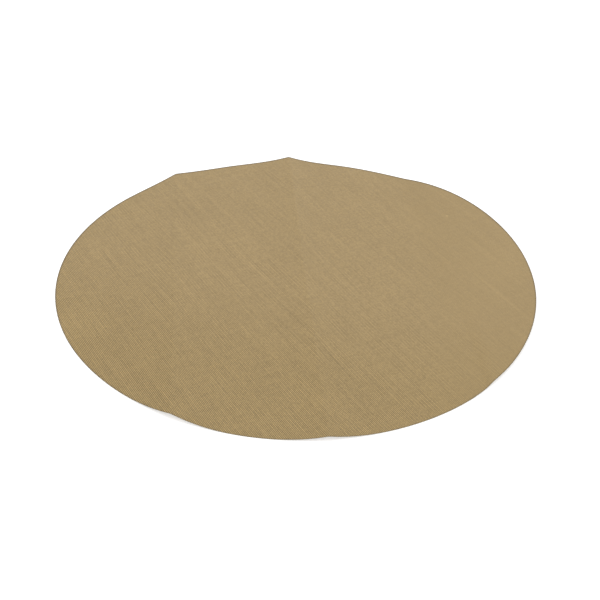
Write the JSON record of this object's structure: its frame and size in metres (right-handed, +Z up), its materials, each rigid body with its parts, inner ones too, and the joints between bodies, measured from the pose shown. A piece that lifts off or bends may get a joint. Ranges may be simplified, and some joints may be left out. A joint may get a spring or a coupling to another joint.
{
  "type": "round baking mat",
  "caption": "Thin round baking mat of woven glass cloth with a non-stick coating on both faces, lying flat with low packing creases; it lines a tin or tray and folds up along the creases.",
  "frame": {"origin": "on the surface that the mat lies on, under the middle of the mat", "axes": "+Z up, +Y along the creases, +X across them, towards the panel that is bent up"},
  "size_m": [0.259, 0.26, 0.0053],
  "materials": {
    "coating": "satin tan non-stick coating, with the weave of the cloth showing through",
    "glass_cloth": "plain-woven glass yarn, seen only at the cut edge"
  },
  "bodies": {
    "left_panel": {"left_lower_coating": "coating", "left_glass_cloth": "glass_cloth", "left_upper_coating": "coating"},
    "left_middle_panel": {"left_middle_lower_coating": "coating", "left_middle_glass_cloth": "glass_cloth", "left_middle_upper_coating": "coating"},
    "right_middle_panel": {"right_middle_lower_coating": "coating", "right_middle_glass_cloth": "glass_cloth", "right_middle_upper_coating": "coating"},
    "right_panel": {"right_lower_coating": "coating", "right_glass_cloth": "glass_cloth", "right_upper_coating": "coating"}
  },
  "joints": [
    {"name": "middle_crease", "type": "hinge", "parent": "right_middle_panel", "child": "left_middle_panel", "pos_m": [0.0049, 0, 0.00318], "axis": [0, 1, 0.0075], "range_deg": [0, 135], "stiffness_Nm_per_rad": 0.02},
    {"name": "left_crease", "type": "hinge", "parent": "left_middle_panel", "child": "left_panel", "pos_m": [-0.06672, 0, 0.00301], "axis": [0, 1, 0.0038], "range_deg": [0, 178], "stiffness_Nm_per_rad": 0.02},
    {"name": "right_crease", "type": "hinge", "parent": "right_middle_panel", "child": "right_panel", "pos_m": [0.07667, 0, 0.00085], "axis": [0, -1, -0.0038], "range_deg": [-3.5, 165], "stiffness_Nm_per_rad": 0.02, "springref_deg": 2.12}
  ]
}
